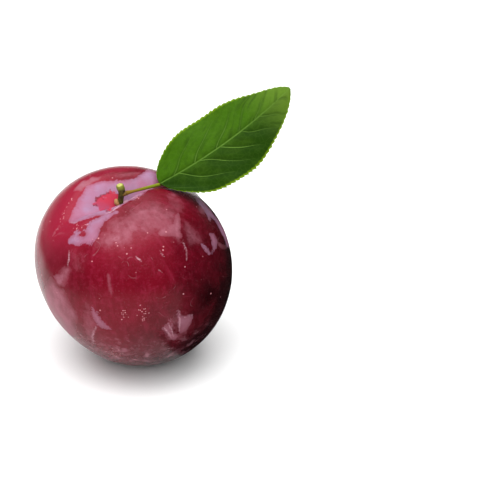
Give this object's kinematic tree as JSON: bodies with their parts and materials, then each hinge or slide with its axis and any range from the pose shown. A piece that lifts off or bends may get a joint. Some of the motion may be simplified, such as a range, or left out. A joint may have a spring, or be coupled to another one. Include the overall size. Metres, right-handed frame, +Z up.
{
  "type": "plum",
  "caption": "Ripe red plum resting on its base, with its short cut stalk standing in the hollow and one toothed leaf reaching out over its shoulder.",
  "frame": {"origin": "centre of the small flat spot that the fruit rests on", "axes": "+Z up, with the leaf reaching out over +X and the stalk end leaning a little towards -X and -Y"},
  "size_m": [0.0752, 0.0605, 0.0793],
  "materials": {
    "fruit": "crimson to maroon skin with a soft gloss, under a patchy pale lavender waxy bloom",
    "stem": "matt olive to brown bark with a pale yellow-green cut end",
    "leaf": "satin mid green with paler veins and a yellow-green margin"
  },
  "bodies": {
    "root": {"fruit": "fruit", "stem": "stem", "leaf": "leaf"}
  },
  "joints": []
}
